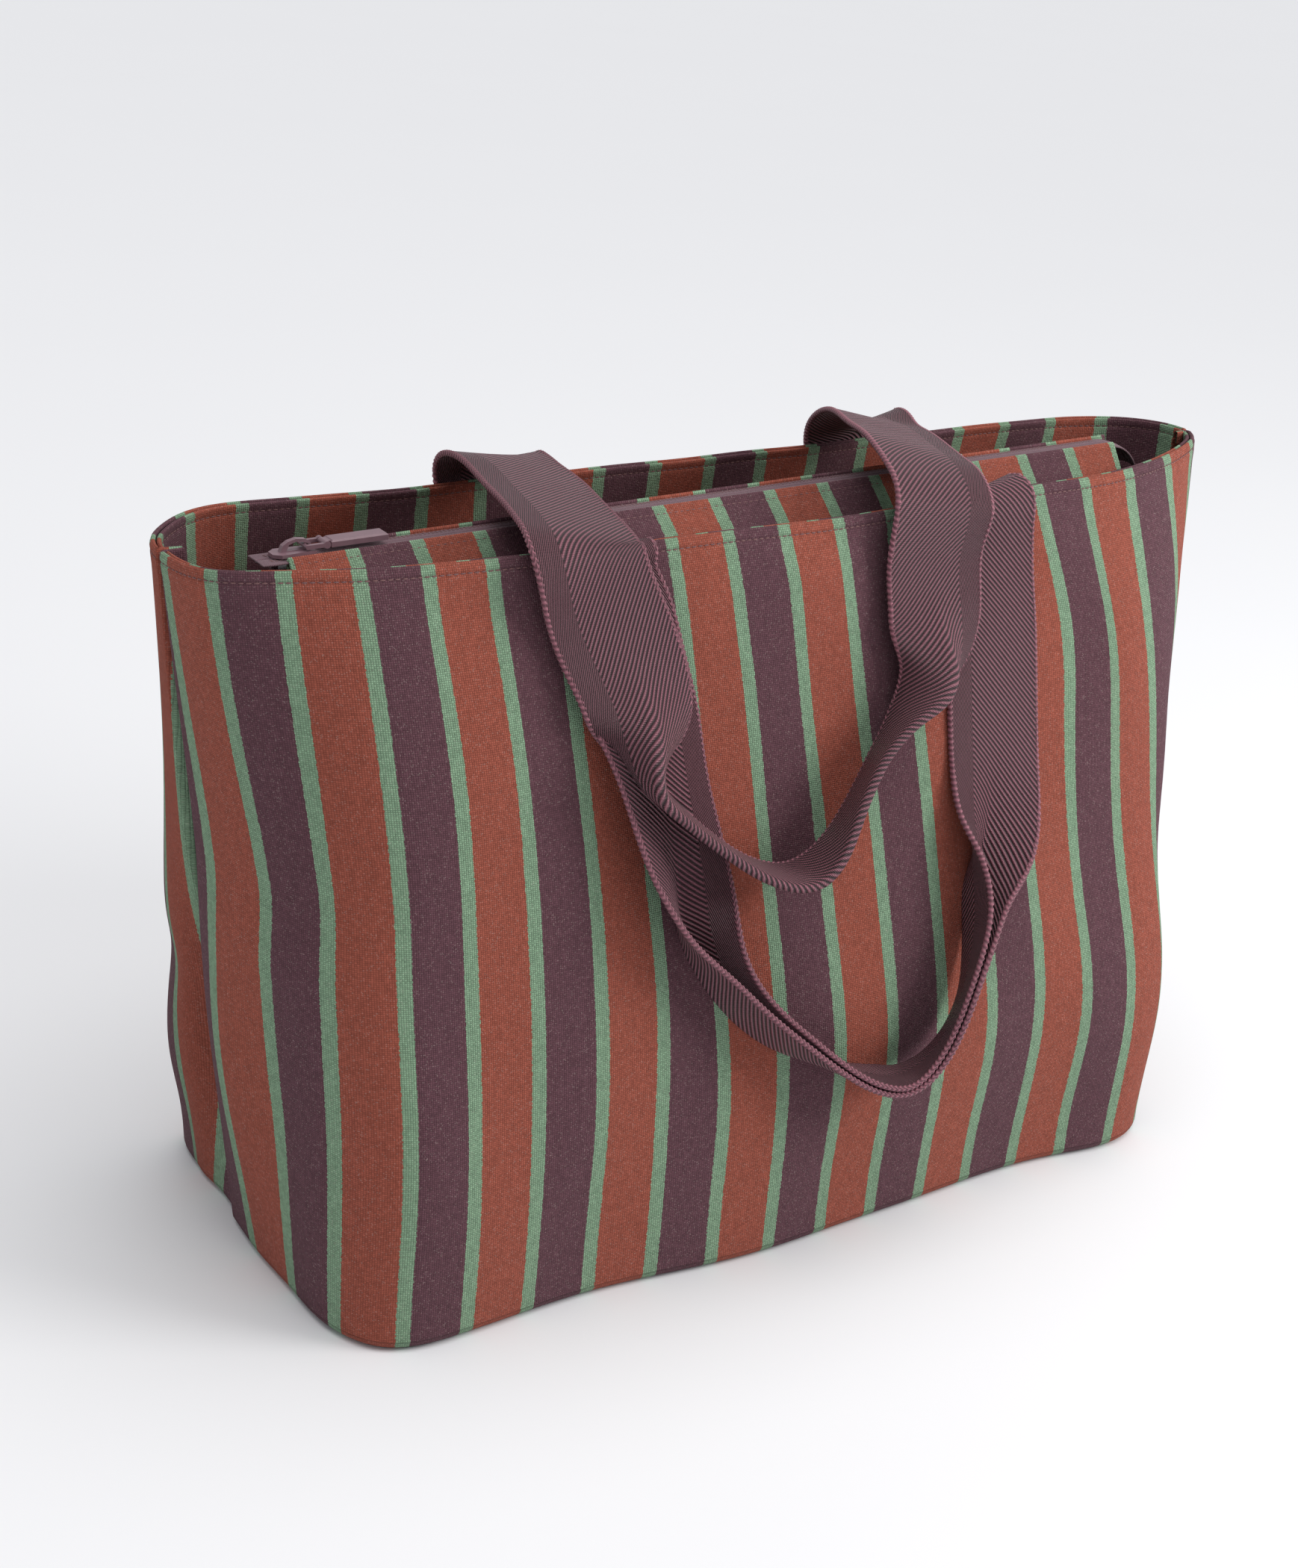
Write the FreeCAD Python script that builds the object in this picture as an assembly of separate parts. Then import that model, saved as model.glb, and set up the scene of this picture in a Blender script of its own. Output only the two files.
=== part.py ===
"""Open-top striped canvas weekender bag with a recessed zip closure and two webbing handles.

Frame in millimetres: origin on the floor under the centre of the base, X along the bag,
-Y towards the side the handles hang over, +Z up.
"""
import FreeCAD, Part
import math
import os

V = FreeCAD.Vector

# ---- bag body -------------------------------------------------------------------------
height = 323.0             # floor to rim
base_length = 452.0
base_depth = 205.0
base_corner_radius = 24.0
rim_half_length = 276.0
rim_half_depth = 65.0
rim_squareness = 3.0       # exponent of the rounded oval the rim follows
rim_set_back = 13.0        # the rim's centre sits this far behind the base's centre
bulge = {-1: 10.0, 1: 7.0}   # how far the stuffed front and back swell at mid height
canvas = 1.2               # canvas thickness
rim_groove = 1.6           # gap between shell and facing where the webbing ends are sewn in
facing_drop = 45.0         # how far the facing hangs down inside the rim
hinge_gap = 0.3            # clearance between pieces that lie against each other

# ---- base and lining ------------------------------------------------------------------
board_margin = 9.0
board_thickness = 2.6
lining_thickness = 0.7
lining_offset = 1.9

# ---- zip closure ----------------------------------------------------------------------
zip_y = -6.0               # centre line of the zip, nearer the front rim
zip_z = 318.5              # upper face of the tapes at the flaps' left end
zip_slope = 1.635          # degrees that the zip rises towards +X
flap_left = -219.0
flap_right = 208.0
flap_half_gap = 5.2        # flap edge to the zip's centre line
flap_thickness = 1.6
tape_half_gap = 0.6
tape_thickness = 0.8
tape_tuck = 9.0            # the part of the tape that turns down under each flap
tape_left = -232.0
tape_right = 228.0
tail_drop = 16.0           # the tapes' right ends curl down into the bag
coil_radius = 1.1
coil_offset = 1.9

# ---- zip slider -----------------------------------------------------------------------
slider_left = -226.0
slider_length = 18.0
slider_width = 9.2
plate_thickness = 1.5
neck_half_width = 0.45
crown_half_width = 1.2
crown_height = 4.9
crown_wall = 1.2
link_bar_radius = 0.8
link_reach = 8.5           # link bar to tab pin
link_half_width = 4.2
link_arm = 1.6
pin_radius = 0.7
tab_length = 27.0
tab_width = 7.5
tab_thickness = 2.8
tab_barrel_half = 2.4

# ---- handles --------------------------------------------------------------------------
webbing_width = 50.0
webbing = 2.4              # webbing thickness where it hangs free
webbing_sewn = 1.3         # pressed flat inside the rim groove
grip_thickness = 5.2       # webbing folded lengthwise at the grip, two layers
grip_depth = 22.0          # the folded webbing stands on edge, out from the panel
sewn_depth = 32.0
end_rise = {-1: 8.0, 1: 3.0}   # how far the front and back sewn ends stand out of the rim
front_end_x = (-107.0, 92.0)
back_end_x = (-81.0, 117.0)
fold_x = (-120.0, 56.0)    # where the back handle turns down over the front rim
span_rise = (1.0, 13.0)    # extra arch of the left and right straps over the mouth
lie_angle = 11.5           # slope of the swollen front panel, which the hanging loops lie on
front_hinge = (-56.0, 331.0)
back_hinge = (76.0, 329.4)
fold_hinge = (-65.0, 331.5)


# ---- outlines of the shell ------------------------------------------------------------
def resample(points, count):
    """Spread count points evenly along a polyline."""
    lengths = [0.0]
    for p, q in zip(points, points[1:]):
        lengths.append(lengths[-1] + math.dist(p, q))
    result, i = [], 0
    for k in range(count):
        target = lengths[-1] * k / (count - 1)
        while i < len(points) - 2 and lengths[i + 1] < target:
            i += 1
        span = lengths[i + 1] - lengths[i]
        f = (target - lengths[i]) / span if span else 0.0
        result.append(tuple(a + (b - a) * f for a, b in zip(points[i], points[i + 1])))
    return result


def base_half(side):
    """Half of the base outline from the left seam to the right one; side is -1 front, +1 back."""
    hx, hy, r = base_length / 2, base_depth / 2, base_corner_radius
    points = [(-hx, 0.0)]
    for k in range(13):
        a = math.radians(90.0 * k / 12)
        points.append((-hx + r - r * math.cos(a), side * (hy - r + r * math.sin(a))))
    return points + [(-x, y) for x, y in reversed(points)]


def rim_half(side):
    """Half of the rim outline, a long rounded oval, over the same sweep."""
    points = []
    for k in range(121):
        a = math.pi * k / 120
        c, s = math.cos(a), math.sin(a)
        x = -rim_half_length * math.copysign(abs(c) ** (2 / rim_squareness), c)
        points.append((x, rim_set_back + side * rim_half_depth * abs(s) ** (2 / rim_squareness)))
    return points


stations = 41
base_curves = {side: resample(base_half(side), stations) for side in (-1, 1)}
rim_curves = {side: resample(rim_half(side), stations) for side in (-1, 1)}


def half_outline(side, z, inset):
    """Points of the half outline at height z, moved inwards by inset."""
    t = z / height
    curve = []
    for i, (p, q) in enumerate(zip(base_curves[side], rim_curves[side])):
        swell = bulge[side] * math.sin(math.pi * t) * math.sin(math.pi * i / (stations - 1)) ** 0.6
        x, y = (a + (b - a) * t for a, b in zip(p, q))
        curve.append((x, y + side * swell))
    result = []
    for i, (x, y) in enumerate(curve):
        if i in (0, stations - 1):
            result.append((x + (inset if i == 0 else -inset), y))
            continue
        tx, ty = curve[i + 1][0] - curve[i - 1][0], curve[i + 1][1] - curve[i - 1][1]
        n = math.hypot(tx, ty)
        result.append((x + side * inset * ty / n, y - side * inset * tx / n))
    return result


def spline(points):
    curve = Part.BSplineCurve()
    curve.interpolate([V(*p) for p in points])
    return curve.toShape()


def strip_wire(outer, inner):
    """Closed wire of two splines joined by short straight ends."""
    return Part.Wire([spline(outer), Part.makeLine(V(*outer[-1]), V(*inner[-1])),
                      spline(inner[::-1]), Part.makeLine(V(*inner[0]), V(*outer[0]))])


def at_height(points, z):
    return [(x, y, z) for x, y in points]


def seam_gap(points, gap=0.15):
    """Pull the two ends of a half outline back from the side seams."""
    first, last = points[0], points[-1]
    dy = math.copysign(gap, points[len(points) // 2][1] - first[1])
    return [(first[0], first[1] + dy)] + points[1:-1] + [(last[0], last[1] + dy)]


def wall(side, z_low, z_high, inset, thickness, levels=11):
    """A half shell between two heights that follows the bag's outline."""
    wires = []
    for k in range(levels):
        z = z_low + (z_high - z_low) * k / (levels - 1)
        outer = at_height(seam_gap(half_outline(side, z, inset)), z)
        inner = at_height(seam_gap(half_outline(side, z, inset + thickness)), z)
        wires.append(strip_wire(outer, inner))
    return Part.makeLoft(wires, True, True)


def full_loft(z_low, z_high, inset, levels=4):
    """Solid block inside the bag's outline."""
    wires = []
    for k in range(levels):
        z = z_low + (z_high - z_low) * k / (levels - 1)
        front = at_height(half_outline(-1, z, inset), z)
        back = at_height(half_outline(1, z, inset), z)
        wires.append(Part.Wire([spline(front), spline(back[::-1])]))
    return Part.makeLoft(wires, True, True)


# ---- small helpers --------------------------------------------------------------------
def box(x0, x1, y0, y1, z0, z1):
    return Part.makeBox(x1 - x0, y1 - y0, z1 - z0, V(x0, y0, z0))


def ribbon(path, thickness):
    """Outline of a strip of even thickness along a path in a plane."""
    left, right = [], []
    for i, (u, v) in enumerate(path):
        a, b = path[max(i - 1, 0)], path[min(i + 1, len(path) - 1)]
        du, dv = b[0] - a[0], b[1] - a[1]
        n = math.hypot(du, dv)
        left.append((u - dv / n * thickness / 2, v + du / n * thickness / 2))
        right.append((u + dv / n * thickness / 2, v - du / n * thickness / 2))
    return left + right[::-1]


def prism_y(outline, y0, y1):
    """Extrude an (x, z) outline along Y."""
    points = [V(x, y0, z) for x, z in outline]
    return Part.Face(Part.makePolygon(points + points[:1])).extrude(V(0, y1 - y0, 0))


def cylinder_y(x, z, y0, y1, radius):
    return Part.makeCylinder(radius, y1 - y0, V(x, y0, z), V(0, 1, 0))


# ---- bag body -------------------------------------------------------------------------
def panels():
    outline = [V(x, y, 0) for x, y in base_half(-1)] + [V(x, y, 0) for x, y in base_half(1)[::-1]]
    base_wire = Part.makePolygon(outline[:-1] + outline[:1])
    board = Part.makeBox(base_length - 2 * board_margin, base_depth - 2 * board_margin,
                         board_thickness,
                         V(-base_length / 2 + board_margin, -base_depth / 2 + board_margin,
                           canvas + hinge_gap))
    uprights = [e for e in board.Edges if abs(e.tangentAt(e.FirstParameter).z) > 0.9]
    panel_foot = canvas + 0.1
    lining_foot = canvas + board_thickness + 2 * hinge_gap
    lining_top = height - facing_drop - 2.0
    lining = full_loft(lining_foot, lining_top, lining_offset).cut(
        full_loft(lining_foot + lining_thickness, lining_top + 1.0,
                  lining_offset + lining_thickness))
    facing_inset = canvas + rim_groove
    return {
        "front_panel": wall(-1, panel_foot, height, 0.0, canvas),
        "back_panel": wall(1, panel_foot, height, 0.0, canvas),
        "base_panel": Part.Face(base_wire).extrude(V(0, 0, canvas)),
        "base_board": board.makeFillet(base_corner_radius - board_margin, uprights),
        "lining": lining,
        "front_facing": wall(-1, height - facing_drop, height, facing_inset, canvas, 3),
        "back_facing": wall(1, height - facing_drop, height, facing_inset, canvas, 3),
    }


# ---- zip closure ----------------------------------------------------------------------
def flap(side):
    """Canvas flap from the facing's lower edge up to the zip."""
    z_root = height - facing_drop + 3.0
    facing_face = canvas + rim_groove + canvas + 0.2
    root = [p for p in half_outline(side, z_root, facing_face) if flap_left < p[0] < flap_right]
    inner = [(x, y - side * flap_thickness) for x, y in root]
    edge_y = zip_y + side * flap_half_gap
    low = strip_wire(at_height(root, z_root), at_height(inner, z_root))
    rise = math.tan(math.radians(zip_slope))
    top_outer = [(x, edge_y + side * flap_thickness, zip_z + (x - flap_left) * rise)
                 for x, _ in root]
    top_inner = [(x, edge_y, z) for x, _, z in top_outer]
    high = strip_wire(top_outer, top_inner)
    return Part.makeLoft([low, high], True, True)


def slope_up(shape):
    """Tip a piece of the zip, built level, to the zip's slope."""
    shape.rotate(V(flap_left, 0, zip_z), V(0, 1, 0), -zip_slope)
    return shape


def tape(side):
    """Half of the zip tape: a flat face beside the teeth, tucked down under the flap."""
    y_in = zip_y + side * tape_half_gap
    y_out = zip_y + side * (flap_half_gap - 0.4)
    low, high = sorted((y_in, y_out))
    path = [(tape_left, zip_z - tape_thickness / 2), (tape_right - 12, zip_z - tape_thickness / 2),
            (tape_right - 4, zip_z - 2.0), (tape_right, zip_z - 6.0), (tape_right, zip_z - tail_drop)]
    face = prism_y(ribbon(path, tape_thickness), low, high)
    low, high = sorted((y_out, y_out - side * tape_thickness))
    tuck = box(flap_left, flap_right, low, high, zip_z - tape_tuck, zip_z - tape_thickness / 2)
    return face.fuse(tuck).removeSplitter()


def zip_parts():
    parts = {"front_zip_tape": tape(-1), "back_zip_tape": tape(1)}
    coil_z = zip_z - tape_thickness - coil_radius - 0.05
    for name, side in (("front_zip_coil", -1), ("back_zip_coil", 1)):
        parts[name] = Part.makeCylinder(coil_radius, flap_right - flap_left - 12,
                                        V(flap_left + 2, zip_y + side * coil_offset, coil_z),
                                        V(1, 0, 0))
    stop_x = flap_right - 8.0
    parts["zip_end_stop"] = box(stop_x, stop_x + 4, zip_y - 3.0, zip_y + 3.0,
                                coil_z - coil_radius, coil_z + coil_radius)
    parts = {name: slope_up(shape) for name, shape in parts.items()}
    parts.update({"front_zip_flap": flap(-1), "back_zip_flap": flap(1)})
    return parts


# ---- slider ---------------------------------------------------------------------------
bar_x = slider_left + 14.0
bar_z = zip_z + 0.8 + plate_thickness + 1.7
pin_x = bar_x + link_reach


def slider_parts():
    x0, x1 = slider_left, slider_left + slider_length
    top_low = zip_z + 0.8
    top_high = top_low + plate_thickness
    under_high = zip_z - tape_thickness - 2 * coil_radius - 0.7
    half = slider_width / 2
    nose = 3.0
    plate = prism_outline_z([(x0 + nose, -half), (x1, -half + 0.8), (x1, half - 0.8),
                             (x0 + nose, half), (x0, half - 2.4), (x0, -half + 2.4)],
                            top_low, top_high)
    under = prism_outline_z([(x0 + nose, -half + 1.2), (x1, -half + 1.6), (x1, half - 1.6),
                             (x0 + nose, half - 1.2), (x0, half - 2.8), (x0, -half + 2.8)],
                            under_high - plate_thickness, under_high)
    neck = box(x0 + 0.2, x0 + 3.0, zip_y - neck_half_width, zip_y + neck_half_width,
               under_high - 0.2, top_low + 0.2)
    crown = prism_y([(x0 + 3.5, top_high - 0.2), (x0 + 4.6, top_high + 2.6),
                     (x0 + 7.0, top_high + crown_height - 0.8), (x0 + 10.5, top_high + crown_height),
                     (x0 + 14.5, top_high + crown_height - 0.6), (x0 + 16.6, top_high + 2.8),
                     (x0 + 17.2, top_high - 0.2)],
                    zip_y - crown_half_width, zip_y + crown_half_width)
    eye = prism_y([(x0 + 6.2, top_high + 0.3), (x0 + 7.4, top_high + 2.8),
                   (x0 + 10.5, top_high + crown_height - crown_wall),
                   (x0 + 14.2, top_high + crown_height - crown_wall - 0.6), (x0 + 15.8, top_high + 2.2),
                   (x0 + 16.0, top_high + 0.3)],
                  zip_y - 2 * crown_half_width, zip_y + 2 * crown_half_width)
    body = plate.fuse([under, neck, crown.cut(eye)]).removeSplitter()

    bar = cylinder_y(bar_x, bar_z, zip_y - link_half_width, zip_y + link_half_width,
                     link_bar_radius)
    link = bar
    for side in (-1, 1):
        low, high = sorted((zip_y + side * link_half_width,
                            zip_y + side * (link_half_width - link_arm)))
        arm = box(bar_x, pin_x, low, high, bar_z - link_bar_radius, bar_z + link_bar_radius)
        eye_end = cylinder_y(pin_x, bar_z, low, high, 1.5)
        link = link.fuse([arm, eye_end])
    link = link.cut(cylinder_y(pin_x, bar_z, zip_y - 6, zip_y + 6, pin_radius + 0.02))

    pin = cylinder_y(pin_x, bar_z, zip_y - link_half_width, zip_y + link_half_width, pin_radius)
    tab_start = pin_x + 2.0
    half_tab, lift = tab_width / 2, tab_thickness / 2
    tab = box(tab_start, pin_x + tab_length, zip_y - half_tab, zip_y + half_tab,
              bar_z - lift, bar_z + lift)
    long_edges = [e for e in tab.Edges if abs(e.CenterOfMass.z - bar_z - lift) < 0.01]
    tab = tab.makeChamfer(0.7, long_edges)
    neck_block = box(pin_x, tab_start + 1.0, zip_y - tab_barrel_half, zip_y + tab_barrel_half,
                     bar_z - 1.1, bar_z + 1.1)
    barrel = cylinder_y(pin_x, bar_z, zip_y - tab_barrel_half, zip_y + tab_barrel_half, 1.4)
    tab = tab.fuse([neck_block, barrel]).cut(
        cylinder_y(pin_x, bar_z, zip_y - 5, zip_y + 5, pin_radius + 0.06))
    return {"slider_body": slope_up(body), "pull_link": slope_up(link.removeSplitter()),
            "link_pin": slope_up(pin), "pull_tab": slope_up(tab.removeSplitter())}


def prism_outline_z(outline, z0, z1):
    """Extrude an (x, y) outline, y measured from the zip's centre line, along Z."""
    points = [V(x, zip_y + y, z0) for x, y in outline]
    return Part.Face(Part.makePolygon(points + points[:1])).extrude(V(0, 0, z1 - z0))


# ---- handles --------------------------------------------------------------------------
def loop_plate(outer, inner, back, front):
    """U outline in (x, distance below the hinge), hung from Z = 0, from Y = front to Y = back."""
    wire = Part.Wire([spline([(x, 0, -d) for x, d in outer]),
                      Part.makeLine(V(outer[-1][0], 0, -outer[-1][1]),
                                    V(inner[-1][0], 0, -inner[-1][1])),
                      spline([(x, 0, -d) for x, d in inner[::-1]]),
                      Part.makeLine(V(inner[0][0], 0, -inner[0][1]),
                                    V(outer[0][0], 0, -outer[0][1]))])
    plate = Part.Face(wire).extrude(V(0, back - front, 0))
    plate.translate(V(0, front, 0))
    return plate


def folded_grip(centre_line):
    """Grip of webbing folded lengthwise along a U centre line."""
    outer, inner = [], []
    for i, (x, d) in enumerate(centre_line):
        a, b = centre_line[max(i - 1, 0)], centre_line[min(i + 1, len(centre_line) - 1)]
        n = math.dist(a, b)
        dx, dd = (b[0] - a[0]) / n * grip_thickness / 2, (b[1] - a[1]) / n * grip_thickness / 2
        outer.append((x - dd, d + dx))
        inner.append((x + dd, d - dx))
    return loop_plate(outer, inner, webbing / 2, webbing / 2 - grip_depth)


def hang(shape, hinge):
    """Tip a loop forward to the slope of the front panel and move it to its hinge line."""
    shape.rotate(V(0, 0, 0), V(1, 0, 0), -lie_angle)
    shape.translate(V(0, hinge[0], hinge[1]))
    return shape


def handle_loop(leg_left, leg_right, grip_line, hinge):
    """Two flat legs that narrow into a grip folded lengthwise.

    leg_left and leg_right are (outer edge, inner edge) lists of (x, drop) from the hinge.
    """
    legs = [loop_plate(edge_a, edge_b, webbing / 2, -webbing / 2)
            for edge_a, edge_b in (leg_left, leg_right)]
    grip = folded_grip(grip_line)
    knuckles = []
    for edge_a, edge_b in (leg_left, leg_right):
        x0, x1 = sorted((edge_a[0][0], edge_b[0][0]))
        knuckles.append(Part.makeCylinder(webbing / 2, x1 - x0, V(x0, 0, 0), V(1, 0, 0)))
    return hang(grip.fuse(legs + knuckles).removeSplitter(), hinge)


def outline_between(side, z, inset, x0, x1):
    """The stretch of a half outline between two X positions."""
    curve = half_outline(side, z, inset)
    inside = [p for p in curve if x0 < p[0] < x1]
    ends = []
    for x in (x0, x1):
        i = next(k for k in range(len(curve) - 1) if curve[k + 1][0] >= x)
        (xa, ya), (xb, yb) = curve[i], curve[i + 1]
        ends.append((x, ya + (yb - ya) * (x - xa) / (xb - xa)))
    return [ends[0]] + inside + [ends[1]]


def sewn_end(side, x, hinge):
    """Webbing end stitched between shell and facing, standing up out of the rim."""
    x0, x1 = x - webbing_width / 2, x + webbing_width / 2
    inset = canvas + (rim_groove - webbing_sewn) / 2
    top = height + end_rise[side]
    wires = []
    for z in (height - sewn_depth, height - sewn_depth / 2, top):
        outer = at_height(outline_between(side, z, inset, x0, x1), z)
        inner = at_height(outline_between(side, z, inset + webbing_sewn, x0, x1), z)
        wires.append(strip_wire(outer, inner))
    end = Part.makeLoft(wires, True, True)
    inner_y = max(y for _, y in outline_between(side, top, inset + webbing_sewn / 2, x0, x1))
    if inner_y - hinge[0] > 2 * webbing:
        turned = box(x0, x1, hinge[0] + webbing, inner_y, top - webbing_sewn, top)
        end = end.fuse(turned).removeSplitter()
    return end


def span(x_back, x_front, rise):
    """Back handle strap arching from the back rim over the mouth to the front rim."""
    path = [(back_hinge[0], back_hinge[1]), (70.0, 333.0), (54.0, 334.0), (28.0, 334.5),
            (0.0, 334.5), (-24.0, 334.0), (-44.0, 334.0), (-60.0, 333.8)]
    path = [(y, z + rise * math.sin(math.pi * k / (len(path) - 1))) for k, (y, z) in enumerate(path)]
    sections = []
    for i, (y, z) in enumerate(path):
        a, b = path[max(i - 1, 0)], path[min(i + 1, len(path) - 1)]
        n = math.dist(a, b)
        ny, nz = -(b[1] - a[1]) / n * webbing / 2, (b[0] - a[0]) / n * webbing / 2
        x = x_back + (x_front - x_back) * (path[0][0] - y) / (path[0][0] - path[-1][0])
        half = webbing_width / 2
        corners = [V(x - half, y + ny, z + nz), V(x + half, y + ny, z + nz),
                   V(x + half, y - ny, z - nz), V(x - half, y - ny, z - nz)]
        sections.append(Part.makePolygon(corners + corners[:1]))
    return Part.makeLoft(sections, True, True)


def handle_parts():
    parts = {}
    for name, x in zip(("front_handle_end_left", "front_handle_end_right"), front_end_x):
        parts[name] = sewn_end(-1, x, front_hinge)
    for name, x in zip(("back_handle_end_left", "back_handle_end_right"), back_end_x):
        parts[name] = sewn_end(1, x, back_hinge)
    for name, x0, x1, rise in zip(("back_handle_span_left", "back_handle_span_right"),
                                  back_end_x, fold_x, span_rise):
        parts[name] = span(x0, x1, rise)
    parts["front_handle_loop"] = handle_loop(
        ([(-132, 0), (-118, 50), (-100, 95), (-84, 140), (-70, 178)],
         [(-82, 0), (-68, 50), (-60, 95), (-54, 130), (-46, 158), (-44, 176)]),
        ([(117, 0), (121, 60), (124, 110), (123, 140), (117, 164), (108, 180)],
         [(67, 0), (67, 60), (70, 112), (76, 144), (86, 162), (92, 176)]),
        [(-62, 168), (-47, 198), (-30, 216), (-8, 232), (14, 247), (34, 256), (50, 257), (66, 246),
         (77, 228), (86, 200), (96, 170)],
        front_hinge)
    parts["back_handle_loop"] = handle_loop(
        ([(-145, 0), (-134, 24), (-124, 50), (-112, 80), (-98, 102)],
         [(-95, 0), (-88, 21), (-75, 47), (-69, 64), (-68, 92)]),
        ([(81, 0), (82, 40), (77, 58), (72, 72), (66, 94)],
         [(31, 0), (35, 28), (37, 54), (42, 70), (48, 90)]),
        [(-92, 90), (-74, 108), (-51, 128), (-32, 144), (-14, 151), (2, 150), (17, 143), (31, 128),
         (44, 112), (56, 88)],
        fold_hinge)
    return parts


# ---- export ---------------------------------------------------------------------------
os.makedirs("parts", exist_ok=True)
for group in (panels(), zip_parts(), slider_parts(), handle_parts()):
    for node, shape in group.items():
        shape.exportStep("parts/" + node + ".step")
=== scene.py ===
"""Striped canvas weekender bag: the looks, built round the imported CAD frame."""
import math

import bmesh
import bpy
import numpy as np
from mathutils import Matrix, Vector


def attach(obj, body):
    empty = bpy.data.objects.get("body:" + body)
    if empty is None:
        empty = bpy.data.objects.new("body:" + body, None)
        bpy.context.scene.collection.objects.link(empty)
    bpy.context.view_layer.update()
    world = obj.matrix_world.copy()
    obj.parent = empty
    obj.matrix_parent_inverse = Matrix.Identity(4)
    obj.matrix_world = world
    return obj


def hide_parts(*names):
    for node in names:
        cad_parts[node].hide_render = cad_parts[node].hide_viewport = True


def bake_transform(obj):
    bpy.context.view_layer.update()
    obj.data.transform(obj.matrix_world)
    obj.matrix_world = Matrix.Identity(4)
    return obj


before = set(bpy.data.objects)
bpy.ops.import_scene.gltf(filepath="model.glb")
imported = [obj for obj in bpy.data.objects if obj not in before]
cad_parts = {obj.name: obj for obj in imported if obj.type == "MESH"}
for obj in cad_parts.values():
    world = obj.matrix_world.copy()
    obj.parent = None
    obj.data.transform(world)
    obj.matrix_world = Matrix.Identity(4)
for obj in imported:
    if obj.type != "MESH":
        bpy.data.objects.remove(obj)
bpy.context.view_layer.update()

MM = 0.001

# ---- camera and light ------------------------------------------------------------------
camera_place = (-632.1, -857.5, 630.9)      # mm
camera_azimuth = -34.93                      # degrees
camera_elevation = 22.9
camera_roll = 5.12
camera_lens = 57.71                          # mm on a 36 mm sensor


def make_camera():
    az, el, roll = (math.radians(a) for a in (camera_azimuth, camera_elevation, camera_roll))
    back = Vector((math.sin(az) * math.cos(el), -math.cos(az) * math.cos(el), math.sin(el)))
    right = Vector((math.cos(az), math.sin(az), 0))
    up = back.cross(right)
    cam_x = math.cos(roll) * right + math.sin(roll) * up
    cam_y = -math.sin(roll) * right + math.cos(roll) * up
    data = bpy.data.cameras.new("camera")
    data.lens, data.sensor_width, data.clip_start, data.clip_end = camera_lens, 36.0, 0.05, 60.0
    camera = bpy.data.objects.new("camera", data)
    rotation = Matrix((cam_x, cam_y, back)).transposed().to_4x4()
    camera.matrix_world = Matrix.Translation(Vector(camera_place) * MM) @ rotation
    bpy.context.collection.objects.link(camera)
    bpy.context.scene.camera = camera


def area_light(name, place, aim, size, power, colour=(1, 1, 1)):
    data = bpy.data.lights.new(name, "AREA")
    data.shape, data.size, data.energy, data.color = "DISK", size, power, colour
    light = bpy.data.objects.new(name, data)
    light.location = place
    light.rotation_euler = (Vector(aim) - Vector(place)).to_track_quat("-Z", "Y").to_euler()
    bpy.context.collection.objects.link(light)


def make_light():
    sun = bpy.data.lights.new("softbox", "SUN")
    sun.energy, sun.angle, sun.color = 1.58, math.radians(60), (1.0, 0.99, 0.975)
    key = bpy.data.objects.new("softbox", sun)
    key.rotation_euler = Vector((0.10, -0.06, 1.0)).to_track_quat("Z", "Y").to_euler()
    bpy.context.collection.objects.link(key)
    area_light("key", (1.1, -1.0, 0.95), (0.0, -0.05, 0.24), 0.8, 14.5, (1.0, 0.985, 0.96))
    world = bpy.data.worlds.new("studio")
    world.use_nodes = True
    background = world.node_tree.nodes["Background"]
    background.inputs["Color"].default_value = (0.965, 0.975, 1.0, 1)
    background.inputs["Strength"].default_value = 0.46
    bpy.context.scene.world = world
    bpy.context.scene.view_settings.view_transform = "Standard"


# ---- curves and small maths -----------------------------------------------------------
def cubic(rows):
    """Natural cubic spline; the first number of each row is the position. Straight beyond its ends."""
    rows = np.asarray(rows, float)
    ts, ys = rows[:, 0], rows[:, 1:]
    h, count = np.diff(ts), len(ts)
    a, b = np.zeros((count, count)), np.zeros_like(ys)
    a[0, 0] = a[-1, -1] = 1.0
    for i in range(1, count - 1):
        a[i, i - 1:i + 2] = h[i - 1], 2 * (h[i - 1] + h[i]), h[i]
        b[i] = 6 * ((ys[i + 1] - ys[i]) / h[i] - (ys[i] - ys[i - 1]) / h[i - 1])
    m = np.linalg.solve(a, b)
    first = (ys[1] - ys[0]) / h[0] - m[1] * h[0] / 6
    last = (ys[-1] - ys[-2]) / h[-1] + m[-2] * h[-1] / 6

    def at(t):
        t = np.asarray(t, float)
        i = np.clip(np.searchsorted(ts, t) - 1, 0, count - 2)
        inside = np.clip(t, ts[0], ts[-1])
        u, v, hi = (ts[i + 1] - inside)[..., None], (inside - ts[i])[..., None], h[i][..., None]
        value = (m[i] * u ** 3 + m[i + 1] * v ** 3) / (6 * hi)
        value = value + (ys[i] / hi - m[i] * hi / 6) * u + (ys[i + 1] / hi - m[i + 1] * hi / 6) * v
        value = value + np.minimum(t - ts[0], 0)[..., None] * first
        return value + np.maximum(t - ts[-1], 0)[..., None] * last
    return at


def ramp(x, a, b):
    u = np.clip((np.asarray(x, float) - a) / (b - a), 0, 1)
    return u * u * (3 - 2 * u)


def gauss(x, centre, width):
    return np.exp(-((x - centre) / width) ** 2)


def unit(v):
    return v / np.maximum(np.linalg.norm(v, axis=-1, keepdims=True), 1e-9)


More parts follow.
